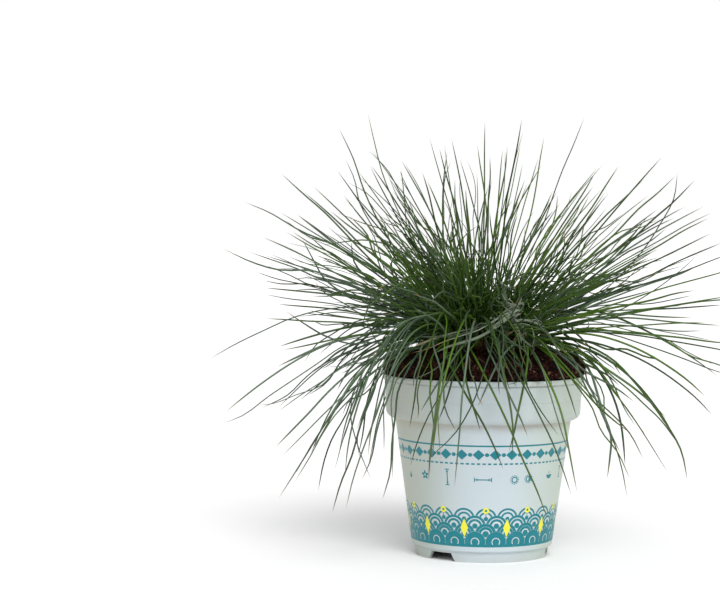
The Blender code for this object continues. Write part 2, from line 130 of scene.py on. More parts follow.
# How full the clump is, by the way its leaves point in the front view: (degrees, fullness)
FULLNESS = (
    (-90, 0.07), (-60, 0.1), (-40, 1.3), (-25, 0.3), (-5, 0.2), (6, 0.03), (20, 0.3), (32, 0.9), (42, 0.6),
    (54, 0.6), (68, 0.1), (80, 0.05), (90, 0.3), (102, 1.3), (112, 0.3), (126, 2.8), (138, 0.3), (150, 2.2),
    (163, 1.3), (174, 0.05), (188, 0.7), (200, 0.35), (214, 0.7), (232, 0.7), (250, 0.1), (270, 0.07),
)
FULLEST = max(fullness for _, fullness in FULLNESS)
# Where few leaves reach far: (from, to, share of the leaves made shorter), in degrees as above
SHORT_WAYS = (
    (-24, -10, 0.7), (0, 13, 0.7), (26, 47, 0.6), (71, 85, 0.8), (108, 119, 0.6), (167, 180, 0.5),
)
SHORT_REACH = 74 * MM
SHORT_LENGTHS = (0.62, 0.82)
# Spans of a leaf's line, of the finer one that is tested for room, and those at its foot left out
LINE_STEPS = 8
ROOM_STEPS = 24
ROOM_FROM = 3
POT_ROOM = 1.2 * MM
MOST_TRIES = 400
# How leaves bend: shifts of the tip (its sag in millimetres), turns in degrees, and small kinks
OWN_DRIFT = 2 * MM
FINE_DRIFT = 6 * MM
DRIFT_SCALE = 30 * MM
DRIFT_PLACES = 50
TIP_SHIFT = 12 * MM
TIP_SHIFTS = (0.5, 0.8, 1, 1.3, 2.2)
TIP_SAG = 9
SAG_REACH = 80 * MM
SWING = 24
CROWN_SWING = 8
BOW = 42
LONG_BOW = 0.6
BOW_SPREAD = 0.6
CROWDED = 0.6
KINK = 0.8 * MM
FRONT_FEET = -6 * MM
# A shoot's sheath, from below the potting mix to the leaves: (share of its height, girth)
SHEATH = ((-0.15, 1), (0.1, 1.05), (0.5, 0.95), (0.85, 0.8), (1.1, 0.55))
SHEATH_SIDES = 8
SHOOT_RADIUS = 1.7 * MM
CROWN_RADIUS = 24 * MM
WILTED_COPIES = 2
WILTED_BLADES = 4
WILTED_BLADE = (
    (9, -33, 117), (15, -37, 126), (6, -43, 122.5), (-6, -47, 114.5), (-26, -50, 108.5), (-37, -48, 106),
)
WILTED_LIFT = 6 * MM
WILTED_OWN_DRIFT = 0.7 * MM
WILTED_DRIFT = 4 * MM
CURLS = 15
CURL_BENDS = 8
CURL_STEPS = 14
CURL_CENTRE = Vector((11, -36, 121)) * MM
DEAD_BLADES = 90
DEAD_STEPS = 8
DEAD_FOOT = 102.6 * MM


# Mesh helpers


class Strands:
    """The corners, faces and per-corner values of one mesh made of many small bodies."""

    def __init__(self, *values):
        self.places, self.faces = [], []
        self.values = {name: [] for name in values}

    def ring(self, places, **values):
        first = len(self.places)
        self.places.extend(places)
        for name, kept in self.values.items():
            value = values[name]
            kept.extend(value if isinstance(value, (list, tuple)) else [value] * len(places))
        return list(range(first, first + len(places)))

    def bridge(self, low, high):
        count = len(low)
        for n in range(count):
            after = (n + 1) % count
            self.faces.append((low[n], low[after], high[after], high[n]))

    def grow(self, ring, upper):
        """Join this ring to the one before it, or close the body's start with it."""
        if ring:
            self.bridge(ring, upper)
        else:
            self.faces.append(tuple(reversed(upper)))
        return upper

    def cap(self, ring, corner):
        for n in range(len(ring)):
            self.faces.append((ring[n], ring[(n + 1) % len(ring)], corner))

    def piece(self, name, material, smooth=True):
        mesh = bpy.data.meshes.new(name)
        mesh.from_pydata(self.places, [], self.faces)
        for kind, kept in self.values.items():
            mesh.attributes.new(kind, "FLOAT", "POINT").data.foreach_set("value", kept)
        if smooth:
            mesh.shade_smooth()
        return placed(name, mesh, material)


def placed(name, mesh, material):
    thing = bpy.data.objects.new(name, mesh)
    bpy.context.collection.objects.link(thing)
    if material:
        mesh.materials.append(material)
    return thing


def smooth_line(points, count):
    """count + 1 places, evenly spaced, on a smooth curve through these points."""
    spans = [max((b - a).length, 1e-6) for a, b in zip(points, points[1:])]
    ways = [(points[1] - points[0]) / spans[0]]
    for n in range(1, len(points) - 1):
        before = (points[n] - points[n - 1]) / spans[n - 1]
        after = (points[n + 1] - points[n]) / spans[n]
        whole = spans[n - 1] + spans[n]
        ways.append((before * spans[n] + after * spans[n - 1]) / whole)
    ways.append((points[-1] - points[-2]) / spans[-1])
    dense = [points[0]]
    for n, span in enumerate(spans):
        a, b, first, last = points[n], points[n + 1], ways[n] * span, ways[n + 1] * span
        for step in range(1, DENSE_STEPS + 1):
            t = step / DENSE_STEPS
            dense.append(
                a * (2 * t**3 - 3 * t**2 + 1) + first * (t**3 - 2 * t**2 + t)
                + b * (3 * t**2 - 2 * t**3) + last * (t**3 - t**2)
            )
    reach = [0.0]
    for a, b in zip(dense, dense[1:]):
        reach.append(reach[-1] + (b - a).length)
    line, n = [dense[0]], 0
    for step in range(1, count):
        wanted = reach[-1] * step / count
        while reach[n + 1] < wanted:
            n += 1
        line.append(dense[n].lerp(dense[n + 1], (wanted - reach[n]) / (reach[n + 1] - reach[n])))
    return line + [dense[-1]]


def along_line(line):
    """Each point of a line, with its share of the way along."""
    return [(n / (len(line) - 1), point) for n, point in enumerate(line)]


def leaning(lean, turn):
    """The way that leans this far from upright, towards this turn about Z."""
    return Vector((math.sin(lean) * math.cos(turn), math.sin(lean) * math.sin(turn), math.cos(lean)))


# Material helpers


class Paint:
    """A Principled material whose nodes are added one call at a time."""

    def __init__(self, name, roughness):
        self.material = bpy.data.materials.new(name)
        self.material.use_nodes = True
        self.tree = self.material.node_tree
        self.shader = self.tree.nodes["Principled BSDF"]
        self.shader.inputs["Roughness"].default_value = roughness
        self.place = self.add("ShaderNodeTexCoord").outputs["Object"]

    def add(self, kind, **settings):
        node = self.tree.nodes.new(kind)
        for name, value in settings.items():
            setattr(node, name, value)
        return node

    def feed(self, socket, value):
        if isinstance(value, bpy.types.NodeSocket):
            self.tree.links.new(value, socket)
        elif isinstance(value, tuple) and len(value) == 3 and socket.type == "RGBA":
            socket.default_value = (*value, 1)
        else:
            socket.default_value = value

    def math(self, operation, a, b=0.0, c=0.0):
        node = self.add("ShaderNodeMath", operation=operation)
        for socket, value in zip(node.inputs, (a, b, c)):
            self.feed(socket, value)
        return node.outputs[0]

    def times(self, a, b):
        return self.math("MULTIPLY", a, b)

    def plus(self, a, b):
        return self.math("ADD", a, b)

    def ramp(self, value, low, high, to_low=0.0, to_high=1.0):
        node = self.add("ShaderNodeMapRange", interpolation_type="SMOOTHSTEP")
        for socket, item in zip(node.inputs, (value, low, high, to_low, to_high)):
            self.feed(socket, item)
        return node.outputs[0]

    def mix(self, share, a, b):
        node = self.add("ShaderNodeMix", data_type="RGBA")
        self.feed(node.inputs[0], share)
        self.feed(node.inputs[6], a)
        self.feed(node.inputs[7], b)
        return node.outputs[2]

    def noise(self, scale, detail=3.0):
        node = self.add("ShaderNodeTexNoise")
        self.feed(node.inputs["Vector"], self.place)
        node.inputs["Scale"].default_value = scale
        node.inputs["Detail"].default_value = detail
        return node.outputs["Fac"]

    def cells(self, scale):
        node = self.add("ShaderNodeTexVoronoi")
        self.feed(node.inputs["Vector"], self.place)
        node.inputs["Scale"].default_value = scale
        return node.outputs

    def value_of(self, name):
        return self.add("ShaderNodeAttribute", attribute_type="GEOMETRY", attribute_name=name).outputs["Fac"]

    def colour(self, value):
        self.feed(self.shader.inputs["Base Color"], value)

    def bump(self, height, strength, distance):
        node = self.add("ShaderNodeBump")
        node.inputs["Strength"].default_value = strength
        node.inputs["Distance"].default_value = distance
        self.feed(node.inputs["Height"], height)
        self.tree.links.new(node.outputs[0], self.shader.inputs["Normal"])


# Leaves: where they run


def traced_leaves(node):
    """The middle lines of a shoot's leaves, from sheath to tip, and its foot, read off its solid."""
    shape = bmesh.new()
    shape.from_mesh(node.data)
    bmesh.ops.remove_doubles(shape, verts=shape.verts, dist=1e-6)
    shape.verts.index_update()
    places = [corner.co.copy() for corner in shape.verts]
    near = [{edge.other_vert(corner).index for edge in corner.link_edges} for corner in shape.verts]
    shape.free()

    def middle(corners):
        return sum((places[n] for n in sorted(corners)), Vector()) / len(corners)

    def is_tip(corner, around):
        """Whether a corner has three neighbours that lie close together and well behind it."""
        if len(around) != 3:
            return False
        a, b, c = (places[n] for n in around)
        spread = max((a - b).length, (b - c).length, (c - a).length)
        return spread < TIP_SPREAD * min((place - places[corner]).length for place in (a, b, c))

    lines = []
    for tip, around in enumerate(near):
        if not is_tip(tip, around):
            continue
        line, ring, passed = [places[tip]], around, {tip}
        for _ in range(SOLID_RINGS):
            line.append(middle(ring))
            passed |= ring
            ring = set().union(*(near[n] for n in ring)) - passed
        lines.append(line[::-1])
    foot = middle({
        n for n, place in enumerate(places)
        if abs(place.z - SHOOT_FOOT) < FOOT_SLACK and place.to_2d().length < CROWN_REACH
    })
    return sorted(lines, key=lambda line: (round(line[-1].x, 5), round(line[-1].y, 5))), foot


def mound_height(radius):
    """How high the potting mix stands at this distance from the axis."""
    for (outer, low), (inner, high) in zip(MOUND, MOUND[1:]):
        if inner * MM <= radius <= outer * MM:
            share = (outer * MM - radius) / max((outer - inner) * MM, 1e-6)
            return (low + (high - low) * share) * MM
    return 0


def clear_of_pot(point):
    radius = point.to_2d().length
    if point.z > COLLAR_BOTTOM:
        over_soil = point.z > POT_HEIGHT and point.z > mound_height(radius) + POT_ROOM
        return radius > LIP_RADIUS + POT_ROOM or over_soil
    return radius > BODY_TOP_RADIUS + POT_ROOM


def inside_box(point):
    low, high = CAD_BOX
    return all(low[n] < point[n] < high[n] for n in range(3))


def has_room(line):
    """Whether a leaf on this line keeps clear of the pot and within the part's box."""
    fine = smooth_line(line, ROOM_STEPS)
    return all(map(clear_of_pot, fine[ROOM_FROM:])) and all(map(inside_box, fine))


def varied(chance, line, swing, share):
    """A line like this one, swung about its foot, brought to this share of its length, and bent."""
    foot = line[0]
    way = (line[2] - foot).normalized()
    side = Quaternion(way, chance.uniform(0, math.tau)) @ way.orthogonal().normalized()
    swung = Quaternion(side, math.radians(swing))
    bend = leaning(chance.uniform(0, math.pi), chance.uniform(0, math.tau)) * chance.gauss(0, TIP_SHIFT)
    bend *= chance.choice(TIP_SHIFTS)
    bend -= UP * chance.uniform(0, TIP_SAG) * MM * min(1, (line[-1] - foot).to_2d().length / SAG_REACH)
    return [foot + swung @ (point - foot) * share + bend * along**2.5 for along, point in along_line(line)]


def blended(chance, one, other):
    """A line between two others."""
    part = chance.uniform(0.25, 0.75)
    return [a.lerp(b, part) for a, b in zip(one, other)]


def wander(chance, line, amount):
    """Small uneven bends, none at the foot, so that no two leaves run alike."""
    shift = Vector([chance.uniform(-DRIFT_PLACES, DRIFT_PLACES) for _ in range(3)])
    return [
        point + noise.noise_vector(point / DRIFT_SCALE + shift) * amount * along
        for along, point in along_line(line)
    ]


def bowed(chance, line, often):
    """The line with small kinks, and now and then bent over like a bow, where there is room."""
    axis = Vector((chance.gauss(0, BOW_SPREAD), 1, chance.gauss(0, BOW_SPREAD))).normalized()
    turn = math.radians(chance.gauss(0, BOW)) if chance.random() < often else 0
    turn *= LONG_BOW if shows_long(line[-1]) else 1
    drawn = []
    for n, (along, point) in enumerate(along_line(line)):
        kink = Vector([chance.gauss(0, KINK) for _ in range(3)]) * min(1, n / 2)
        drawn.append(line[0] + Quaternion(axis, turn * along) @ (point - line[0]) + kink)
    crowded = shows_long(drawn[-1]) and fullness_at(drawn[-1]) < CROWDED * fullness_at(line[-1])
    return line if crowded or not has_room(drawn) else drawn


def way_of(tip):
    """The way this leaf tip shows from the front, in degrees from the right over the top."""
    turn = math.degrees(math.atan2(tip.z - SHOOT_FOOT, tip.x))
    return turn + (360 if turn < -90 else 0)


def reach_of(tip):
    """How far from the middle of the clump's foot this leaf tip shows from the front."""
    return math.hypot(tip.x, tip.z - SHOOT_FOOT)


def shortened(chance, line):
    """The line, or a shorter one where few leaves reach far."""
    tip, luck, size = line[-1], chance.random(), chance.uniform(*SHORT_LENGTHS)
    share = sum(part for low, high, part in SHORT_WAYS if low <= way_of(tip) <= high)
    if reach_of(tip) < SHORT_REACH or luck > share:
        return line
    drawn = [line[0] + (point - line[0]) * size for point in line]
    return drawn if has_room(drawn) else line


def fullness_at(tip):
    """How full the clump is where this leaf tip shows from the front."""
    turn = way_of(tip)
    for (low, one), (high, other) in zip(FULLNESS, FULLNESS[1:]):
        if low <= turn <= high:
            return one + (other - one) * (turn - low) / (high - low)
    return 1


def shows_long(tip):
    return reach_of(tip) > (LONG_REACH if tip.z > SHOOT_FOOT else LOW_REACH)


def leaf_lines(chance, lines, upright):
    """The shoot's own leaves and the thinner ones among them: (line, size)."""
    leaves = [
        (wander(chance, smooth_line(line, LINE_STEPS), OWN_DRIFT), 1 - 0.3 * upright) for line in lines
    ]
    fullness = sum(fullness_at(line[-1]) for line in lines) / len(lines)
    wanted = len(leaves) + round((LEAVES_PER_SHOOT - len(leaves)) * fullness + CROWN_LEAVES * upright)
    for _ in range(MOST_TRIES):
        if len(leaves) >= wanted:
            break
        line = chance.choice(lines)
        if len(lines) > 1 and chance.random() < 0.3:
            line = blended(chance, *chance.sample(lines, 2))
        swing = abs(chance.gauss(0, SWING + CROWN_SWING * upright))
        lengths = CROWN_LENGTHS if chance.random() < 1.4 * upright else LEAF_LENGTHS
        line = varied(chance, line, swing, chance.choice(lengths))
        line = wander(chance, smooth_line(line, LINE_STEPS), FINE_DRIFT)
        tip, seldom = line[-1], chance.random() * FULLEST
        if tip.z < LOWEST_TIP or shows_long(tip) and seldom > fullness_at(tip):
            continue
        if has_room(line):
            leaves.append((line, chance.uniform(0.62, 1) * (1 - 0.15 * upright)))
    return leaves


def wilted_lines(chance, lines):
    """The wilted shoot's leaves: its own, long ones that sag to the left, and loose ones beside."""
    leaves = [(wander(chance, smooth_line(line, LINE_STEPS), WILTED_OWN_DRIFT), 1.0) for line in lines]
    for _ in range(WILTED_BLADES):
        shift = Vector((chance.gauss(0, 4), chance.uniform(-2, 1), chance.uniform(-8, 6))) * MM
        count = chance.choice((4, 5, 6))
        places = enumerate(WILTED_BLADE[:count])
        drawn = smooth_line([Vector(point) * MM + shift * (0.2 + 0.2 * n) for n, point in places], LINE_STEPS)
        leaves.append((wander(chance, drawn, FINE_DRIFT), chance.uniform(0.75, 1.05)))
    for line in lines:
        for _ in range(WILTED_COPIES):
            beside = varied(chance, line, abs(chance.gauss(0, 8)), chance.uniform(0.6, 1))
            sag = chance.uniform(3, 8) * MM
            for along, point in along_line(beside):
                point.z += WILTED_LIFT * (1 - along) - sag * math.sin(math.pi * along)
            beside = wander(chance, smooth_line(beside, LINE_STEPS), WILTED_DRIFT)
            if has_room(beside):
                leaves.append((beside, chance.uniform(0.95, 1.2)))
    return leaves


# Leaves: their shape

# The blade's outline across, as shares of its width and depth: folded, with a groove above
BLADE = ((-0.5, 0.24), (-0.34, -0.24), (0, -0.5), (0.34, -0.24), (0.5, 0.24), (0, -0.08))
# How much each corner of the blade leans to green: most on the keel beneath, less on the sides and the
# groove, none at the edges; partly the leaf's own colour, partly painted shade on the underside and in the
# groove
BLADE_GREEN_AND_SHADE = (0.0, 0.7, 1.0, 0.7, 0.0, 0.35)


def add_blade(strands, line, size, tone, fresh, spin, twist, flat, steps=LEAF_STEPS):
    """A folded needle leaf along a line, widest in its lower third, ending in a point."""
    points = smooth_line(line, steps)
    tangent = (points[1] - points[0]).normalized()
    side = tangent.cross(UP)
    side = side.normalized() if side.length > 0.2 else tangent.orthogonal().normalized()
    side = Quaternion(tangent, spin) @ side
    ring = None
    for n in range(steps):
        share = n / steps
        ahead = (points[n + 1] - points[max(n - 1, 0)]).normalized()
        turn = tangent.rotation_difference(ahead)
        side = Quaternion(ahead, twist / steps) @ (turn @ side)
        tangent = ahead
        over = tangent.cross(side).normalized()
        slim = (1 - 0.2 * share) * (1 - share**16)
        width = LEAF_WIDTH * size * flat * (0.8 + 0.2 * min(1, share * 6)) * slim
        depth = LEAF_DEPTH * size / flat * slim
        corners = [points[n] + side * (x * width) + over * (y * depth) for x, y in BLADE]
        ring = strands.grow(ring, strands.ring(corners, along=share, tone=tone, fresh=fresh, across=BLADE_GREEN_AND_SHADE))
    tip = strands.ring([points[-1]], along=1.0, tone=tone, fresh=fresh, across=0.5)
    strands.cap(ring, tip[0])


def add_sheath(strands, foot, top, radius, tone):
    """The pale tube that holds a shoot's leaves together at its foot."""
    axis = (top - foot).normalized()
    side = axis.orthogonal().normalized()
    ring = None
    turns = [Quaternion(axis, math.tau * n / SHEATH_SIDES) for n in range(SHEATH_SIDES)]
    for share, girth in SHEATH:
        middle = foot.lerp(top, share)
        corners = [middle + turn @ side * (radius * girth) for turn in turns]
        upper = strands.ring(corners, along=0.02 + 0.03 * share, tone=tone, fresh=0.2, across=0.6)
        ring = strands.grow(ring, upper)
    strands.faces.append(tuple(ring))


# Materials

# Colours, each pair from the darkest tone to the lightest
BLOOM = ((0.023, 0.052, 0.025), (0.120, 0.178, 0.116))
GREEN = ((0.007, 0.034, 0.002), (0.084, 0.176, 0.010))
FADED = ((0.13, 0.17, 0.115), (0.33, 0.38, 0.30))
LEAF_FOOT = ((0.10, 0.045, 0.018), (0.22, 0.13, 0.055))
LEAF_GRAIN = (0.19, 0.25, 0.18)
LEAF_END = (0.044, 0.052, 0.026)
STRAW = (0.30, 0.19, 0.08)
DEAD = ((0.075, 0.028, 0.012), (0.34, 0.19, 0.08))
DEAD_STAIN = (0.10, 0.045, 0.02)
# Near black: the mix's own dark colour, and painted shade in the hollows between the crumbs
SOIL_DARK_AND_SHADE = ((0.0015, 0.0006, 0.0005), (0.010, 0.0035, 0.003))
SOIL_CRUMB = ((0.016, 0.004, 0.003), (0.075, 0.021, 0.015))
SOIL_STRAW = (0.16, 0.09, 0.05)


def leaf_paint(name, faded):
    """Blue-grey bloom over green, greener towards the base as fresher growth and as painted shade inside the
    clump, straw and brown at the very foot and tip.
    """
    paint = Paint(name, 0.5)
    along, tone = paint.value_of("along"), paint.value_of("tone")
    fresh, across = paint.value_of("fresh"), paint.value_of("across")
    blotch = paint.noise(90, 4.0)
    grain = paint.noise(900, 2.0)
    bloom = paint.mix(tone, *BLOOM)
    green = paint.mix(tone, *GREEN)
    # Greener and darker towards the base: partly fresher growth, partly painted shade inside the clump
    green_by = paint.plus(fresh, paint.ramp(along, 0.0, 0.7, 0.5, 0.0))
    # The keel, sides and groove greener and darker: partly the leaf's own colour, partly painted shade
    green_by = paint.plus(green_by, paint.times(across, 0.16))
    green_by = paint.plus(green_by, paint.ramp(blotch, 0.3, 0.7, -0.15, 0.15))
    share = paint.ramp(green_by, 0.4, 0.8, 1.0, 0.0)
    colour = paint.mix(share, green, bloom)
    colour = paint.mix(paint.ramp(grain, 0.4, 0.75, 0.0, 0.12), colour, LEAF_GRAIN)
    colour = paint.mix(faded, colour, paint.mix(tone, *FADED))
    foot = paint.mix(blotch, *LEAF_FOOT)
    colour = paint.mix(paint.ramp(along, 0.0, 0.09, 0.95, 0.0), colour, foot)
    colour = paint.mix(paint.ramp(along, 0.5, 1.0, 0.0, 0.45), colour, LEAF_END)
    worn = paint.times(paint.ramp(along, 0.9 - 0.35 * faded, 1.0), paint.ramp(tone, 0.55, 0.9))
    paint.colour(paint.mix(worn, colour, STRAW))
    paint.feed(paint.shader.inputs["Roughness"], paint.ramp(grain, 0.3, 0.7, 0.42, 0.6))
    paint.shader.inputs["Specular IOR Level"].default_value = 0.25
    paint.bump(paint.noise(1400, 2.0), 0.15, 0.05 * MM)
    return paint.material


def dead_paint():
    """Brown to straw, with darker stains."""
    paint = Paint("dead_sheaths", 0.8)
    colour = paint.mix(paint.value_of("tone"), *DEAD)
    stain = paint.ramp(paint.noise(700, 3.0), 0.35, 0.7, 0.0, 0.5)
    paint.colour(paint.mix(stain, colour, DEAD_STAIN))
    paint.bump(paint.noise(1500, 3.0), 0.4, 0.1 * MM)
    return paint.material


def soil_paint():
    """Moist coir and bark: dark mix made near black where its tone is low, as painted shade in the hollows
    between crumbs; red-brown crumbs, a few straw specks.
    """
    paint = Paint("potting_mix", 0.95)
    tone = paint.value_of("tone")
    grain = paint.noise(650, 5.0)
    hollow, crumb = paint.mix(grain, *SOIL_DARK_AND_SHADE), paint.mix(grain, *SOIL_CRUMB)
    colour = paint.mix(paint.ramp(tone, 0.25, 0.8), hollow, crumb)
    paint.colour(paint.mix(paint.ramp(tone, 0.95, 1.0), colour, SOIL_STRAW))
    paint.shader.inputs["Specular IOR Level"].default_value = 0.1
    paint.bump(paint.noise(1100, 6.0), 0.9, 0.5 * MM)
    return paint.material


# Pot: shape


def pot_profile():
    """Up the inside from the floor's middle, over the lip, down the outside and under the base."""
    floor = FOOT_HEIGHT + WALL
    lip_bottom = POT_HEIGHT - LIP_DEPTH
    inside = [
        (0, floor), (BODY_FOOT_RADIUS - WALL - 1.2 * MM, floor),
        (BODY_FOOT_RADIUS - WALL, floor + 1.2 * MM),
        (BODY_TOP_RADIUS - WALL, INNER_LEDGE - 1 * MM), (BODY_TOP_RADIUS - WALL + 1 * MM, INNER_LEDGE),
        (COLLAR_FOOT_RADIUS - WALL - 1 * MM, INNER_LEDGE),
        (COLLAR_FOOT_RADIUS - WALL, INNER_LEDGE + 1 * MM),
        (LIP_RADIUS - 1.6 * MM, POT_HEIGHT - 0.4 * MM), (LIP_RADIUS - 1.3 * MM, POT_HEIGHT),
    ]
    lip = [
        (LIP_RADIUS - 0.5 * MM, POT_HEIGHT), (LIP_RADIUS - 0.15 * MM, POT_HEIGHT - 0.15 * MM),
        (LIP_RADIUS, POT_HEIGHT - 0.5 * MM), (LIP_RADIUS, lip_bottom + 0.4 * MM),
        (LIP_RADIUS - 0.15 * MM, lip_bottom + 0.1 * MM), (COLLAR_RADIUS + 0.1 * MM, lip_bottom),
        (COLLAR_RADIUS, lip_bottom - 0.3 * MM),
    ]
    slope = (COLLAR_RADIUS - COLLAR_FOOT_RADIUS) / (lip_bottom - COLLAR_BOTTOM - 3.4 * MM)
    at_line = COLLAR_RADIUS - slope * (lip_bottom - MOULD_LINE)
    collar = [
        (at_line, MOULD_LINE + 0.2 * MM), (at_line - 0.2 * MM, MOULD_LINE),
        (COLLAR_FOOT_RADIUS, COLLAR_BOTTOM + 3.4 * MM),
        (COLLAR_FOOT_RADIUS - 0.2 * MM, COLLAR_BOTTOM + 2.5 * MM),
        (COLLAR_FOOT_RADIUS - 0.7 * MM, COLLAR_BOTTOM + 1.6 * MM),
        (COLLAR_FOOT_RADIUS - 1.5 * MM, COLLAR_BOTTOM + 0.8 * MM),
        (COLLAR_FOOT_RADIUS - 2.4 * MM, COLLAR_BOTTOM + 0.3 * MM),
        (BODY_TOP_RADIUS + 0.7 * MM, COLLAR_BOTTOM), (BODY_TOP_RADIUS + 0.2 * MM, COLLAR_BOTTOM - 0.2 * MM),
        (BODY_TOP_RADIUS, COLLAR_BOTTOM - 0.8 * MM),
    ]
    base = [
        (BODY_FOOT_RADIUS, FOOT_HEIGHT + 0.9 * MM), (BODY_FOOT_RADIUS - 0.15 * MM, FOOT_HEIGHT + 0.4 * MM),
        (BODY_FOOT_RADIUS - 0.6 * MM, FOOT_HEIGHT + 0.1 * MM), (FOOT_RADIUS + 0.2 * MM, FOOT_HEIGHT),
        (FOOT_RADIUS, FOOT_HEIGHT - 0.3 * MM), (FOOT_RADIUS - 0.1 * MM, 0.4 * MM),
        (FOOT_RADIUS - 0.4 * MM, 0), (FOOT_RADIUS - FOOT_WALL, 0),
        (FOOT_RADIUS - FOOT_WALL - 0.2 * MM, FOOT_HEIGHT), (0, FOOT_HEIGHT),
    ]
    return inside + lip + collar + base


def turned(profile, steps):
    """The profile, as radii and heights, spun about Z."""
    shape = bmesh.new()
    points = [shape.verts.new((radius, 0, height)) for radius, height in profile]
    edges = [shape.edges.new(pair) for pair in zip(points, points[1:])]
    bmesh.ops.spin(shape, geom=points + edges, cent=(0, 0, 0), axis=UP, angle=math.tau, steps=steps)
    bmesh.ops.remove_doubles(shape, verts=shape.verts, dist=0.01 * MM)
    bmesh.ops.recalc_face_normals(shape, faces=shape.faces)
    return shape


def as_mesh(name, shape):
    mesh = bpy.data.meshes.new(name)
    shape.to_mesh(mesh)
    shape.free()
    return mesh


def notch_shape():
    shape = bmesh.new()
    half, half_top, below = NOTCH_WIDTH / 2, NOTCH_TOP_WIDTH / 2, 1 * MM
    outline = ((-half, -below), (half, -below), (half_top, NOTCH_HEIGHT), (-half_top, NOTCH_HEIGHT))
    front = shape.faces.new([shape.verts.new((x, -(FOOT_RADIUS + 3 * MM), z)) for x, z in outline])
    pushed = bmesh.ops.extrude_face_region(shape, geom=[front])
    moved = [item for item in pushed["geom"] if isinstance(item, bmesh.types.BMVert)]
    bmesh.ops.translate(shape, verts=moved, vec=(0, FOOT_WALL + 6 * MM, 0))
    bmesh.ops.recalc_face_normals(shape, faces=shape.faces)
    return shape


def drain_shape(distance):
    shape = bmesh.new()
    bmesh.ops.create_cone(
        shape, cap_ends=True, segments=32, radius1=DRAIN_RADIUS, radius2=DRAIN_RADIUS, depth=6 * MM
    )
    bmesh.ops.translate(shape, verts=shape.verts, vec=(0, -distance, FOOT_HEIGHT + WALL / 2))
    return shape


def make_pot():
    pot = placed("nursery_pot", as_mesh("nursery_pot", turned(pot_profile(), POT_STEPS)), None)
    tools = []

    def cut(shape, turn):
        tool = placed("pot_cutter", as_mesh("pot_cutter", shape), None)
        tool.rotation_euler.z = turn
        modifier = pot.modifiers.new("cut", "BOOLEAN")
        modifier.operation, modifier.solver, modifier.object = "DIFFERENCE", "EXACT", tool
        tools.append(tool)

    for angle in NOTCH_ANGLES:
        cut(notch_shape(), math.radians(angle))
    cut(drain_shape(0), 0)
    for n in range(DRAIN_HOLES):
        cut(drain_shape(DRAIN_CIRCLE), math.tau * n / DRAIN_HOLES)
    done = pot.evaluated_get(bpy.context.evaluated_depsgraph_get())
    mesh = bpy.data.meshes.new_from_object(done)
    pot.modifiers.clear()
    pot.data = mesh
    for tool in tools:
        bpy.data.objects.remove(tool, do_unlink=True)
    mesh.shade_smooth()
    mesh.set_sharp_from_angle(angle=math.radians(40))
    mesh.materials.append(pot_paint())
    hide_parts("pot")
    return pot


# Pot: its plastic and its print

PLASTIC = ((0.520, 0.600, 0.640), (0.550, 0.622, 0.660))
# Painted light and shade on the sides: the right a little darker and greener, the left darker and yellower
PAINTED_RIGHT_SHADE = (0.50, 0.575, 0.48)
PAINTED_LEFT_SHADE = (0.41, 0.435, 0.34)
# Painted shade over the collar, from the leaves above it, with some dirt in it
COLLAR_SHADE_AND_DIRT = (0.40, 0.435, 0.42)
DULL = (0.50, 0.50, 0.44)
# Painted shadow under the collar's edge, with some dirt
COLLAR_EDGE_SHADOW_AND_DIRT = (0.42, 0.36, 0.27)
FOOT_DIRT = (0.45, 0.40, 0.31)
# Painted shadow line under the lip, with some dirt
LIP_SHADOW_AND_DIRT = (0.20, 0.22, 0.20)
RIM_DIRT = (0.30, 0.22, 0.15)
SPECK = (0.10, 0.06, 0.035)
INSIDE = (0.40, 0.38, 0.33)
TEAL = (0.003, 0.195, 0.235)
YELLOW = (0.82, 0.78, 0.05)

# The pot's marks, in millimetres: how high they stand above the floor, and how large they are
# The painted shadow line under the lip, with some dirt, lies at the first height
LIP_SHADOW_HEIGHT = 87.3
RULE_HEIGHT = 58.2
BAND_HEIGHT = 53.9
DASH_HEIGHT = 49.4
RULE_HALF = 0.4
RING_HEIGHT = 26.2
STEM_HEIGHT = 23.8
DIAMOND_HEIGHT = 17.6
BORDER_BASE = 8.0
SCALLOP_REACH = 5.3
# The rows of scallops: (height of their middles, shift along the row, weight of the lines)
SCALLOP_ROWS = ((10.6, 0.0, 1.25), (14.6, 0.5, 1.15), (18.6, 0.0, 0.95), (22.2, 0.5, 0.75))
# The outside lies past this radius, in metres, which grows with the height
INNER_WALL = 34 * MM - 0.9 * MM
WALL_SLOPE = 0.14
# The pot's mean radius at the border and at the signs, and how many of each figure go round it
BORDER_RADIUS = 37
PRINT_RADIUS = 40.5
SCALLOPS = 22
LOZENGES = 32
DASHES = 96
# The signs: (degrees round from the front, height)
DROP_PLACE = (-64, 41.5)
FLOWER_PLACE = (-47, 42.5)
UPRIGHT_PLACE = (-28, 42.4)
LEVEL_PLACE = (-2.5, 41.6)
SUN_PLACE = (20, 41.5)
HALF_SUN_PLACE = (31, 41.7)
BOWL_PLACE = (51, 43.0)
SHORT_ARROW_PLACE = (66, 43.5)


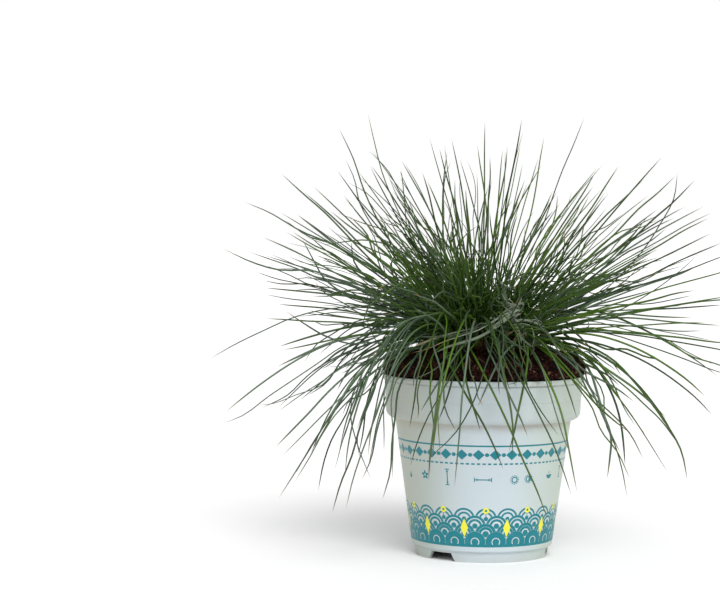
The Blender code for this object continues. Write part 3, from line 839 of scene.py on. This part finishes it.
def pot_paint():
    """White plastic, a little dirty, with painted shade on its sides, its collar, under the collar's edge and
    under the lip, and a printed teal and yellow border, rules and signs.
    """
    paint = Paint("printed_plastic", 0.42)
    times, ramp = paint.times, paint.ramp
    node = paint.add("ShaderNodeSeparateXYZ")
    paint.feed(node.inputs[0], paint.place)
    x, y, z = node.outputs
    height = times(z, 1000)
    azimuth = paint.math("ARCTAN2", x, times(y, -1))
    radius = paint.math("SQRT", paint.plus(times(x, x), times(y, y)))
    cloud, fine = paint.noise(18, 4.0), paint.noise(260, 4.0)
    # The band under the collar's edge that takes its painted shadow and some dirt
    under = times(ramp(height, 63.5, 68.2), ramp(height, 68.6, 69.6, 1.0, 0.0))
    # The thin line under the lip that takes its painted shadow and some dirt
    lip_shadow = paint.math("COMPARE", height, LIP_SHADOW_HEIGHT, 0.45)
    rim = times(ramp(height, 84.0, 90.0), ramp(fine, 0.5, 0.72))
    speck = paint.math("LESS_THAN", paint.cells(85)["Distance"], 0.035)
    speck = times(speck, paint.math("GREATER_THAN", paint.noise(33, 1.0), 0.56))
    plastic = paint.mix(ramp(cloud, 0.3, 0.7), *PLASTIC)
    for share, colour in (
        # Painted shade: the right side a little darker and greener, the left side darker and yellower
        (ramp(x, 6 * MM, 44 * MM, 0.0, 0.9), PAINTED_RIGHT_SHADE),
        (ramp(x, -46 * MM, -4 * MM, 0.85, 0.0), PAINTED_LEFT_SHADE),
        # Painted shade, with some dirt, over the collar from 66 mm up
        (ramp(height, 66.0, 70.0, 0.0, 0.3), COLLAR_SHADE_AND_DIRT),
        (ramp(fine, 0.55, 0.8, 0.0, 0.18), DULL),
        # Painted shadow, with some dirt, in the band under the collar's edge
        (times(under, ramp(fine, 0.3, 0.6, 0.25, 0.5)), COLLAR_EDGE_SHADOW_AND_DIRT),
        (times(ramp(height, 0.0, 5.0, 1.0, 0.0), ramp(cloud, 0.4, 0.7, 0.0, 0.3)), FOOT_DIRT),
        # Painted shadow line, with some dirt, under the lip
        (times(lip_shadow, ramp(fine, 0.35, 0.6, 0.2, 0.55)), LIP_SHADOW_AND_DIRT),
        (times(rim, 0.4), RIM_DIRT),
        (times(speck, 0.8), SPECK),
    ):
        plastic = paint.mix(share, plastic, colour)
    ink, share = printed(paint, azimuth, height)
    outside = paint.math("GREATER_THAN", radius, paint.math("MULTIPLY_ADD", z, WALL_SLOPE, INNER_WALL))
    share = times(times(share, outside), ramp(fine, 0.25, 0.45, 0.93, 1.0))
    colour = paint.mix(share, plastic, ink)
    inner = ramp(radius, BODY_FOOT_RADIUS - 3 * MM, BODY_FOOT_RADIUS - 2.5 * MM, 1.0, 0.0)
    paint.colour(paint.mix(times(inner, 0.25), colour, INSIDE))
    paint.feed(paint.shader.inputs["Roughness"], ramp(cloud, 0.3, 0.7, 0.36, 0.5))
    paint.shader.inputs["Specular IOR Level"].default_value = 0.4
    paint.shader.inputs["Subsurface Weight"].default_value = 0.12
    paint.shader.inputs["Subsurface Radius"].default_value = (1.0, 1.0, 1.0)
    paint.shader.inputs["Subsurface Scale"].default_value = 1.5 * MM
    paint.bump(paint.noise(420, 3.0), 0.08, 0.1 * MM)
    return paint.material


def printed(paint, azimuth, height):
    """The print's ink and how much of it lies here: a border, a band, two rules and small signs."""
    both, plus = paint.times, paint.plus

    def either(*masks):
        whole = masks[0]
        for mask in masks[1:]:
            whole = paint.math("MAXIMUM", whole, mask)
        return whole

    def within(value, middle, half):
        return paint.math("COMPARE", value, middle, half)

    def less(a, b):
        return paint.math("LESS_THAN", a, b)

    def more(a, b):
        return paint.math("GREATER_THAN", a, b)

    def minus(a, b):
        return paint.math("SUBTRACT", a, b)

    def size(value):
        return paint.math("ABSOLUTE", value)

    def away(across, up):
        return paint.math("SQRT", plus(both(across, across), both(up, up)))

    def waves(across, up, count):
        """A wave round a middle, this many times."""
        return paint.math("COSINE", both(paint.math("ARCTAN2", across, up), count))

    def repeated(count, shift):
        """Millimetres along the pot from the middle of the nearest of this many places."""
        turn = paint.math("MULTIPLY_ADD", azimuth, count / math.tau, shift)
        return both(minus(paint.math("FRACT", turn), 0.5), math.tau * BORDER_RADIUS / count)

    def sign(angle, middle):
        """Millimetres across and up from a sign's middle, the same at the front and the back."""
        turn = paint.math("MULTIPLY_ADD", azimuth, 1 / math.pi, 0.5 - math.radians(angle) / math.pi)
        across = both(minus(paint.math("FRACT", turn), 0.5), math.pi * PRINT_RADIUS)
        return across, minus(height, middle)

    def arrow(across, up, reach):
        """A double-headed arrow along up, between two stops."""
        length, side = size(up), size(across)
        shaft = both(less(side, 0.27), less(length, reach))
        head = both(less(side, both(minus(reach, length), 0.6)), less(length, reach))
        head = both(head, more(length, reach - 1.2))
        stop = both(less(side, 1.1), within(length, reach + 0.25, 0.25))
        return either(shaft, head, stop)

    def sun(across, up, half):
        distance = away(across, up)
        rays = both(within(distance, 2.05, 0.34), more(waves(across, up, 12), 0.2))
        disc = both(less(distance, 1.3), more(across, 0.0)) if half else 0.0
        return either(within(distance, 1.3, 0.28), rays, disc)

    share = within(height, BORDER_BASE + 0.6, 0.6)
    for middle, shift, weight in reversed(SCALLOP_ROWS):
        distance = away(repeated(SCALLOPS, shift), minus(height, middle))
        shape = both(less(distance, SCALLOP_REACH), more(height, BORDER_BASE))
        lines = either(
            within(distance, SCALLOP_REACH - 0.7 * weight, 0.65 * weight),
            within(distance, 2.95, 0.6 * weight),
            less(distance, 1.4 * weight),
        )
        share = plus(both(share, minus(1.0, shape)), both(shape, lines))
    share = either(share, within(height, BORDER_BASE + 0.7, 0.7))
    every = repeated(SCALLOPS // 2, 0.5)
    from_ring = away(every, minus(height, RING_HEIGHT))
    core = less(from_ring, 0.6)
    stem = both(within(every, 0.0, 0.2), within(height, STEM_HEIGHT, 1.6))
    ring = both(less(from_ring, 1.5), minus(1.0, core))
    beside = both(size(repeated(SCALLOPS // 2, 0.0)), 2.4)
    diamond = less(plus(beside, size(minus(height, DIAMOND_HEIGHT))), 4.6)
    yellow = either(ring, diamond)

    across, up = sign(*DROP_PLACE)
    taper = both(less(size(across), both(minus(1.9, up), 0.42)), within(up, 0.9, 1.0))
    drop = either(less(away(across, plus(up, 0.5)), 1.0), taper)
    across, up = sign(*FLOWER_PLACE)
    petals = paint.math("MULTIPLY_ADD", waves(across, up, 5), 0.55, 1.75)
    distance = away(across, up)
    flower = both(less(distance, petals), more(distance, 0.55))
    across, up = sign(*BOWL_PLACE)
    bowl = both(less(away(across, up), 2.1), less(up, -0.1))
    rain = both(less(size(across), 0.9), both(within(up, 1.0, 0.6), within(size(across), 0.6, 0.15)))
    level = arrow(*reversed(sign(*LEVEL_PLACE)), 3.9)
    signs = either(
        drop, flower, bowl, rain, level,
        arrow(*sign(*UPRIGHT_PLACE), 3.6), arrow(*sign(*SHORT_ARROW_PLACE), 2.4),
        sun(*sign(*SUN_PLACE), False), sun(*sign(*HALF_SUN_PLACE), True),
    )
    up = minus(height, BAND_HEIGHT)
    lozenges = less(plus(size(repeated(LOZENGES, 0.0)), size(up)), 2.6)
    beads = less(away(repeated(LOZENGES, 0.5), up), 0.95)
    dashes = both(within(height, DASH_HEIGHT, RULE_HALF), within(repeated(DASHES, 0.0), 0.0, 0.75))
    rule = within(height, RULE_HEIGHT, RULE_HALF)
    share = either(share, stem, core, yellow, signs, rule, dashes, lozenges, beads)
    return paint.mix(yellow, TEAL, YELLOW), share


# Potting mix


def soil_outline():
    """The root ball's outline, as radii and heights: coarse in the pot and fine where it shows."""
    inside = WALL + 0.4 * MM
    floor = FOOT_HEIGHT + WALL + 0.3 * MM
    hidden = [
        (0, floor), (BODY_FOOT_RADIUS - inside - 1.4 * MM, floor),
        (BODY_FOOT_RADIUS - inside, floor + 1.4 * MM), (BODY_TOP_RADIUS - inside, INNER_LEDGE + 0.3 * MM),
        (COLLAR_FOOT_RADIUS - inside - 1.2 * MM, INNER_LEDGE + 0.3 * MM),
        (COLLAR_FOOT_RADIUS - inside, INNER_LEDGE + 1.5 * MM),
        (COLLAR_RADIUS - inside, POT_HEIGHT - 1.5 * MM),
        (COLLAR_RADIUS - inside + 0.2 * MM, POT_HEIGHT + 0.5 * MM),
    ]
    corners = [Vector((radius, height)) * MM for radius, height in MOUND]
    shown = [corners[0]]
    for a, b in zip(corners, corners[1:]):
        count = max(1, round((b - a).length / SOIL_GRAIN))
        shown.extend(a.lerp(b, n / count) for n in range(1, count + 1))
    return hidden, [tuple(point) for point in shown]


def on_mound(place):
    """This place of the smooth mound, moved out or in by the lumps."""
    lump = noise.noise(place / (9 * MM)) + noise.noise(place / (3.2 * MM)) * 0.7
    return place + (place - MOUND_CENTRE).normalized() * lump * MM


def add_crumb(chance, strands, place, size, tone, knobs, sides):
    """A lump with the corners and sides of a ball, turned, flattened and made uneven."""
    axis = leaning(math.acos(chance.uniform(-1, 1)), chance.uniform(0, math.tau))
    turn = Quaternion(axis, chance.uniform(0, 6))
    girth = Vector((chance.uniform(0.5, 1), chance.uniform(0.35, 0.8), chance.uniform(0.3, 0.6))) * size
    corners = []
    for knob in knobs:
        corner = knob * chance.uniform(0.7, 1.15)
        corners.append(place + turn @ Vector((corner.x * girth.x, corner.y * girth.y, corner.z * girth.z)))
    ring = strands.ring(corners, tone=tone)
    strands.faces.extend(tuple(ring[n] for n in side) for side in sides)


def add_fibre(chance, strands, place, away, tone, length):
    """A thin root or coir fibre that lies on the mound, with its ends lifted."""
    side = Quaternion(away, chance.uniform(0, math.tau)) @ away.orthogonal().normalized()
    bend = chance.gauss(0, 0.35)
    cross = away.cross(side)
    points = []
    for n in range(5):
        t = n / 4 - 0.5
        lift = away * (0.5 + chance.uniform(0, 0.7) + 4 * t * t * chance.uniform(0, 0.9)) * MM
        points.append(place + side * (t * length) + cross * (bend * t * t * length) + lift)
    add_thread(strands, points, chance.uniform(0.09, 0.2) * MM, tone)


def add_thread(strands, points, girth, tone):
    """A three-sided thread through these points, thin at both ends."""
    ring = None
    line = smooth_line(points, THREAD_STEPS)
    for n, point in enumerate(line):
        way = (line[min(n + 1, THREAD_STEPS)] - line[max(n - 1, 0)]).normalized()
        side = way.orthogonal().normalized()
        slim = girth * (0.35 if n in (0, THREAD_STEPS) else 1)
        corners = [point + Quaternion(way, math.tau * k / 3) @ side * slim for k in range(3)]
        ring = strands.grow(ring, strands.ring(corners, tone=tone))
    strands.faces.append(tuple(ring))


def make_soil(chance):
    hidden, shown = soil_outline()
    strands = Strands("tone")
    shape = turned(hidden + shown, SOIL_STEPS)
    shape.verts.index_update()
    places = [corner.co.copy() for corner in shape.verts]
    # Mostly low tones on the mound under the crumbs, which makes it near black: dark mix and painted shade
    tones = [0.2 + 0.5 * noise.noise(place / (5 * MM)) for place in places]
    places = [on_mound(place) if place.z > LUMPS_ABOVE else place for place in places]
    strands.ring(places, tone=tones)
    strands.faces.extend(tuple(corner.index for corner in face.verts) for face in shape.faces)
    shape.free()
    ball = bmesh.new()
    bmesh.ops.create_icosphere(ball, subdivisions=1, radius=1)
    ball.verts.index_update()
    knobs = [corner.co.copy() for corner in ball.verts]
    sides = [tuple(corner.index for corner in face.verts) for face in ball.faces]
    ball.free()
    spans = list(zip(shown, shown[1:]))
    weights = [math.dist(a, b) * (a[0] + b[0]) * (EDGE_SHARE if a[1] < EDGE_BELOW else 1) for a, b in spans]
    for n, (a, b) in enumerate(chance.choices(spans, weights, k=CRUMBS + FIBRES)):
        part, turn = chance.random(), chance.uniform(0, math.tau)
        radius, height = a[0] + (b[0] - a[0]) * part, a[1] + (b[1] - a[1]) * part
        smooth = Vector((radius * math.cos(turn), radius * math.sin(turn), height))
        place = on_mound(smooth)
        if n < CRUMBS:
            size = min(1.9, 0.55 + chance.expovariate(2.6)) * MM
            add_crumb(chance, strands, place, size, min(1, chance.random() ** 0.8), knobs, sides)
        else:
            away = (smooth - MOUND_CENTRE).normalized()
            add_fibre(chance, strands, place, away, chance.uniform(0.5, 1), chance.uniform(3, 9) * MM)
    add_thread(strands, [Vector(point) * MM for point in ROOT], 0.16 * MM, 0.9)
    soil = strands.piece("loose_potting_mix", soil_paint(), smooth=False)
    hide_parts("soil")
    return soil


# The grass


def make_grass(chance, bends, cuts):
    """Every shoot, with its own leaves on the solid's lines and the finer ones bowed or shortened."""
    living, faded = leaf_paint("fescue_leaf", 0.0), leaf_paint("faded_leaf", 0.8)
    for name, node in sorted(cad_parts.items()):
        if "shoot" not in name:
            continue
        wilted = name == "wilted_shoot"
        lines, foot = traced_leaves(node)
        top = sum((line[0] for line in lines), Vector()) / len(lines)
        strands = Strands("along", "tone", "fresh", "across")
        add_sheath(strands, foot, top, SHOOT_RADIUS * (0.7 if wilted else 1), chance.random())
        upright = max(0, 1 - math.hypot(foot.x, foot.y) / CROWN_RADIUS)
        leaves = wilted_lines(chance, lines) if wilted else leaf_lines(chance, lines, upright)
        often = 0.25 + 0.7 * upright if foot.y > FRONT_FEET else 0.1
        for n, (first, size) in enumerate(leaves):
            own = wilted or n < len(lines)
            line = first if own else bowed(bends, shortened(cuts, first), often)
            turn, out = chance.uniform(0, math.tau), SHOOT_RADIUS * chance.uniform(0.2, 0.9)
            start = foot + Vector((math.cos(turn), math.sin(turn), 0)) * out - UP * 1.5 * MM
            path = [start, start.lerp(line[0], 0.6)] + line[1:]
            greener, middle, girth = look_at(first[-1])
            tone = min(1, max(0, chance.gauss(middle, 0.32)))
            fresh = min(1, max(0, chance.gauss(0.31 + 0.85 * upright + greener, 0.35)))
            flat = chance.uniform(1.2, 1.7) if wilted else chance.uniform(0.9, 1.15)
            twist = chance.gauss(0, 2.2 if wilted else 1.2)
            add_blade(strands, path, size * girth, tone, fresh, chance.uniform(-1.2, 1.2), twist, flat)
        if wilted:
            add_curls(chance, strands)
        piece = strands.piece("fescue_" + name, faded if wilted else living)
        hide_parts(name)
        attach(piece, "root")


def look_at(tip):
    """How much greener, how light and how wide a leaf is, by where its tip is before it is bowed."""
    if tip.z < POT_HEIGHT and tip.y < 0 and tip.x > -45 * MM:
        return 0.08, 0.6, 1.15
    if tip.z < SHOOT_FOOT and tip.x < 0:
        return -0.35, 0.6, 1.05
    if tip.x < -30 * MM:
        return -0.12, 0.5, 1.0
    return 0.05, 0.46, 1.0


def add_curls(chance, strands):
    """Short dried leaf ends that hang and curl in a knot over the wilted shoot."""
    for _ in range(CURLS):
        place = CURL_CENTRE + Vector((chance.gauss(0, 6), chance.uniform(-5, 3), chance.gauss(0, 4))) * MM
        way = leaning(chance.uniform(0.3, 2.4), chance.uniform(math.pi, math.tau))
        axis = (way.orthogonal() + leaning(0.8, chance.uniform(0, math.tau)) * 0.5).normalized()
        step, line = chance.uniform(1.1, 2.4) * MM, [place]
        for _ in range(CURL_BENDS):
            way = Quaternion(axis, math.radians(chance.uniform(4, 38))) @ way
            way = (way - UP * 0.08).normalized()
            line.append(line[-1] + way * step)
        tone, spin, twist = chance.uniform(0.3, 1), chance.uniform(-1, 1), chance.gauss(0, 2)
        add_blade(strands, line, 0.9, tone, 0.0, spin, twist, 1.2, CURL_STEPS)


def make_dead_sheaths(chance):
    """Brown papery sheaths and stubs round the shoots' feet."""
    strands = Strands("along", "tone", "fresh", "across")
    for _ in range(DEAD_BLADES):
        radius, turn = CROWN_RADIUS * math.sqrt(chance.random()), chance.uniform(0, math.tau)
        foot = Vector((radius * math.cos(turn), radius * math.sin(turn), DEAD_FOOT))
        lean = chance.gauss(radius / CROWN_RADIUS * 0.9, 0.3)
        way = leaning(lean, turn + chance.gauss(0, 0.5))
        length = chance.uniform(7, 20) * MM
        middle = foot + way * length * 0.5 + UP * chance.uniform(0, 2) * MM
        line = [foot, middle, foot + way * length - UP * chance.uniform(-1, 4) * MM]
        size, flat = chance.uniform(0.9, 1.7), chance.uniform(1.0, 1.6)
        tone, spin, twist = chance.random(), chance.uniform(-1.5, 1.5), chance.gauss(0, 1.5)
        add_blade(strands, line, size, tone, 0.0, spin, twist, flat, DEAD_STEPS)
    litter = strands.piece("dead_sheaths", dead_paint())
    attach(litter, "root")


# Floor, light and camera


def make_stage():
    world = bpy.data.worlds.new("studio")
    bpy.context.scene.world = world
    world.use_nodes = True
    world.node_tree.nodes["Background"].inputs["Color"].default_value = (1, 1, 1, 1)
    world.node_tree.nodes["Background"].inputs["Strength"].default_value = WORLD_LIGHT
    shape = bmesh.new()
    bmesh.ops.create_grid(shape, x_segments=1, y_segments=1, size=FLOOR_SIZE)
    paint = Paint("pale_floor", 0.9)
    paint.colour(paint.mix(paint.noise(3), (0.93, 0.93, 0.93), (0.95, 0.95, 0.95)))
    floor = placed("floor", as_mesh("floor", shape), paint.material)
    shape = bmesh.new()
    bmesh.ops.create_grid(shape, x_segments=1, y_segments=1, size=BACKDROP_SIZE)
    bmesh.ops.rotate(shape, verts=shape.verts, matrix=Quaternion((1, 0, 0), math.pi / 2).to_matrix())
    paint = Paint("bright_backdrop", 1.0)
    paint.colour((0.0, 0.0, 0.0))
    paint.shader.inputs["Specular IOR Level"].default_value = 0
    paint.shader.inputs["Emission Color"].default_value = (1, 1, 1, 1)
    paint.shader.inputs["Emission Strength"].default_value = 1.0
    backdrop = placed("backdrop", as_mesh("backdrop", shape), paint.material)
    backdrop.location = BACKDROP_PLACE


def add_sun(way, angle, power):
    light = bpy.data.lights.new("key", "SUN")
    light.energy, light.angle = power, math.radians(angle)
    thing = bpy.data.objects.new("key", light)
    thing.rotation_euler = Vector(way).to_track_quat("Z", "Y").to_euler()
    bpy.context.collection.objects.link(thing)


def make_camera():
    camera = bpy.data.cameras.new("camera")
    camera.lens, camera.sensor_width = LENS, SENSOR
    camera.clip_start, camera.clip_end = 0.05, 50
    thing = bpy.data.objects.new("camera", camera)
    thing.location = CAMERA_PLACE
    turn = (CAMERA_PLACE - CAMERA_AIM).to_track_quat("Z", "Y")
    thing.rotation_euler = (turn @ Quaternion((0, 0, 1), CAMERA_ROLL)).to_euler()
    bpy.context.collection.objects.link(thing)
    bpy.context.scene.camera = thing


make_stage()
add_sun(KEY_WAY, KEY_SOFTNESS, KEY_LIGHT)
make_camera()
noise.seed_set(SEED)
bpy.context.scene.view_settings.view_transform = "Standard"
pot = make_pot()
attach(pot, "root")
soil = make_soil(random.Random(SEED))
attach(soil, "root")
make_grass(random.Random(SEED + 1), random.Random(SEED + 3), random.Random(SEED + 4))
make_dead_sheaths(random.Random(SEED + 2))
